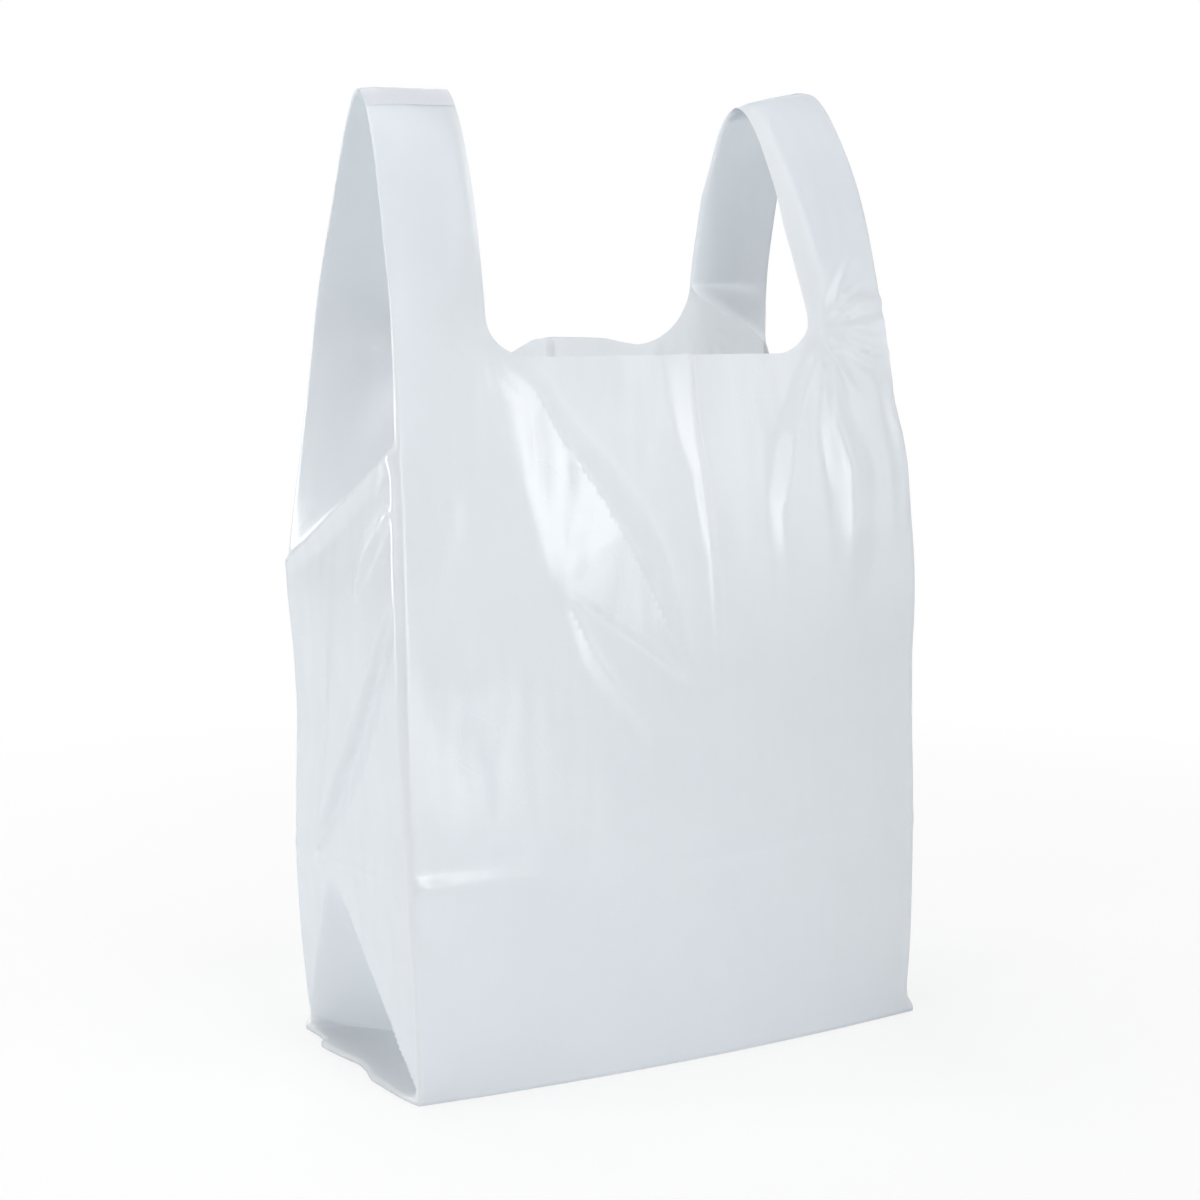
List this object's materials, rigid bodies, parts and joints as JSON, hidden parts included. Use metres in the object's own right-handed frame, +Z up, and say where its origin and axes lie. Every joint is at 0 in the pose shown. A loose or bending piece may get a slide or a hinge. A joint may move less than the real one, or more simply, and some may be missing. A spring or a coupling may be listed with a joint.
{
  "type": "plastic carrier bag",
  "caption": "Thin translucent plastic carrier bag standing open, with folded sides, a flat floor and two strap handles stamped from its own film.",
  "frame": {"origin": "middle of the bag's box at floor level", "axes": "+X across the front panel to the right-hand handle, +Y from the front panel to the back panel, +Z up to the handles"},
  "size_m": [0.2918, 0.1446, 0.471],
  "materials": {
    "film": "thin translucent white high-density polyethylene film, silky, with sharp folds"
  },
  "bodies": {
    "root": {"carrier_bag": "film"}
  },
  "joints": []
}
